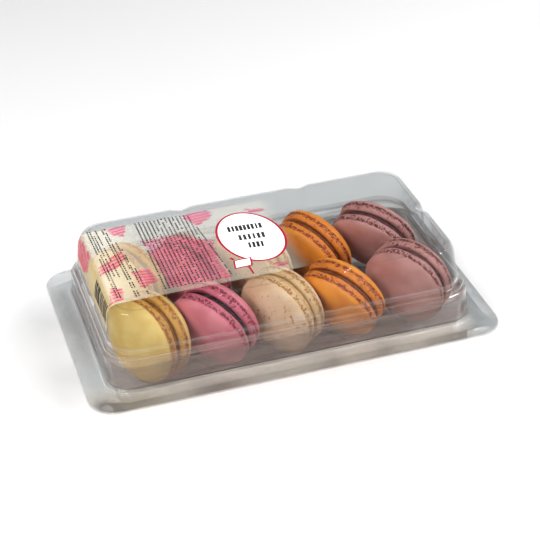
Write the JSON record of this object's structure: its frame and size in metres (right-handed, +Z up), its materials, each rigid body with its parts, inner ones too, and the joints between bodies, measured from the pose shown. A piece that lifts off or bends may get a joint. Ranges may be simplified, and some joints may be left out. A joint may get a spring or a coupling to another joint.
{
  "type": "box of macarons",
  "caption": "Clear moulded food pack with a press-on domed lid on a flanged tray, holding rows of filled macarons that stand on edge, with a printed film over one end.",
  "frame": {"origin": "middle of the tray's underside, where the pack stands", "axes": "+X along the pack, away from its filmed end; +Y from front to back; +Z up"},
  "size_m": [0.215, 0.135, 0.054],
  "materials": {
    "tray_plastic": "clear thin moulded plastic, glossy, slightly hazy",
    "lid_plastic": "clear thin moulded plastic, glossy, slightly hazy",
    "printed_film": "clear film with a pale haze, pink brushed patches, rows of fine dark dashes and a white oval with a red edge",
    "yellow_shell": "smooth baked meringue shell, satin, with a pitted and ruffled foot",
    "yellow_filling": "soft moist filling",
    "pink_shell": "smooth baked meringue shell, satin, with a pitted and ruffled foot",
    "pink_filling": "soft moist filling",
    "cream_shell": "smooth baked meringue shell, satin, with a pitted and ruffled foot",
    "cream_filling": "soft moist filling",
    "amber_shell": "smooth baked meringue shell, satin, with a pitted and ruffled foot",
    "amber_filling": "soft moist filling",
    "mauve_shell": "smooth baked meringue shell, satin, with a pitted and ruffled foot",
    "mauve_filling": "soft moist filling"
  },
  "bodies": {
    "root": {"tray": "tray_plastic", "lid": "lid_plastic", "printed_film": "printed_film", "yellow_front_shell_left": "yellow_shell", "yellow_front_shell_right": "yellow_shell", "yellow_front_filling": "yellow_filling", "pink_front_shell_left": "pink_shell", "pink_front_shell_right": "pink_shell", "pink_front_filling": "pink_filling", "cream_front_shell_left": "cream_shell", "cream_front_shell_right": "cream_shell", "cream_front_filling": "cream_filling", "amber_front_shell_left": "amber_shell", "amber_front_shell_right": "amber_shell", "amber_front_filling": "amber_filling", "mauve_front_shell_left": "mauve_shell", "mauve_front_shell_right": "mauve_shell", "mauve_front_filling": "mauve_filling", "yellow_back_shell_left": "yellow_shell", "yellow_back_shell_right": "yellow_shell", "yellow_back_filling": "yellow_filling", "pink_back_shell_left": "pink_shell", "pink_back_shell_right": "pink_shell", "pink_back_filling": "pink_filling", "cream_back_shell_left": "cream_shell", "cream_back_shell_right": "cream_shell", "cream_back_filling": "cream_filling", "amber_back_shell_left": "amber_shell", "amber_back_shell_right": "amber_shell", "amber_back_filling": "amber_filling", "mauve_back_shell_left": "mauve_shell", "mauve_back_shell_right": "mauve_shell", "mauve_back_filling": "mauve_filling"}
  },
  "joints": []
}
